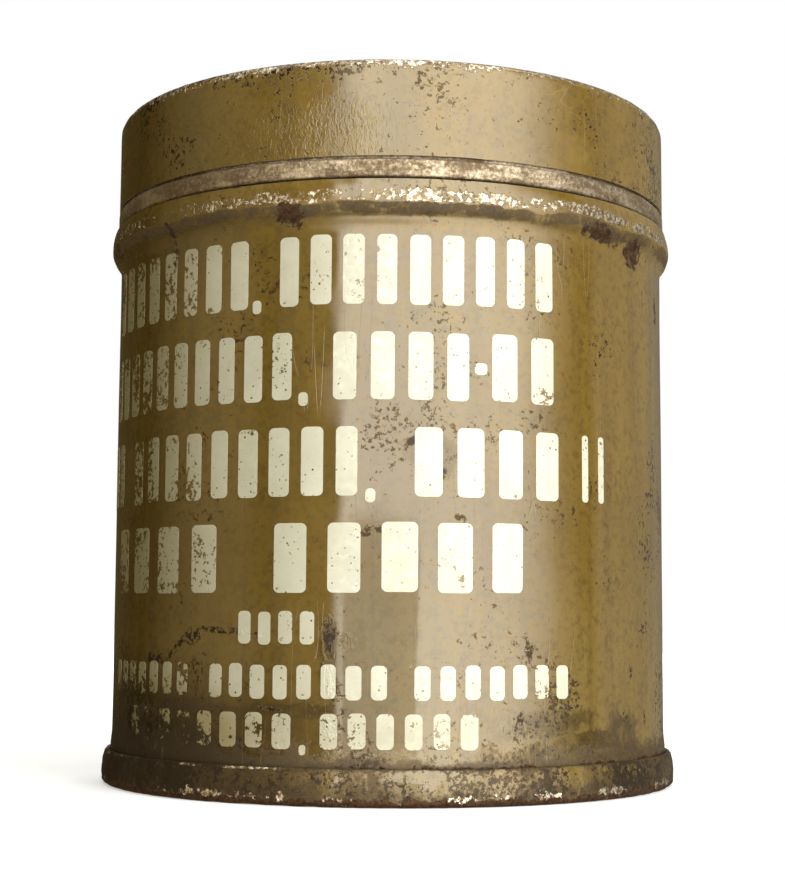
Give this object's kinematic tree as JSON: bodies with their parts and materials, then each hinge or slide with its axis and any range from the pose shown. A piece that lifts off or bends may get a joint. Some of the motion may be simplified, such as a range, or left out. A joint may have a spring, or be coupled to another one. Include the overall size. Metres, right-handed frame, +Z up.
{
  "type": "shoe polish tin",
  "caption": "Tall round lacquered slip-lid tin with a bare metal stop band, a rolled bead and a seamed foot, holding dark polish.",
  "frame": {"origin": "centre of the tin's foot, on the surface it stands on", "axes": "+Z up along the tin's axis; -Y is the printed front and +Y the back, where the side seam runs; +X is to the right seen from the front"},
  "size_m": [0.0658, 0.0658, 0.0758],
  "materials": {
    "aged_lacquer": "glossy aged olive-brown lacquer on tinplate, chipped and rust-stained",
    "bare_tinplate": "bare tinplate, tarnished, with grime and rust specks",
    "solder": "dull tin-lead solder",
    "seam_compound": "hardened sealing compound",
    "waxed_card": "waxed card, stained brown where it met the polish",
    "polish": "dark brown wax paste, used and a little dried"
  },
  "bodies": {
    "tin": {"body_shell": "aged_lacquer", "body_seam_solder": "solder", "neck_ring": "bare_tinplate", "neck_ring_solder": "solder", "base_end": "aged_lacquer", "base_seam_compound": "seam_compound", "polish": "polish"},
    "liner": {"lid_liner": "waxed_card"},
    "lid": {"lid_shell": "aged_lacquer"}
  },
  "joints": [
    {"name": "lid_lift", "type": "slide", "parent": "tin", "child": "liner", "axis": [0, 0, 1], "range_m": [0, 0.04]},
    {"name": "lid_turn", "type": "hinge", "parent": "liner", "child": "lid", "pos_m": [0, 0, 0.07], "axis": [0, 0, 1], "continuous": true}
  ]
}
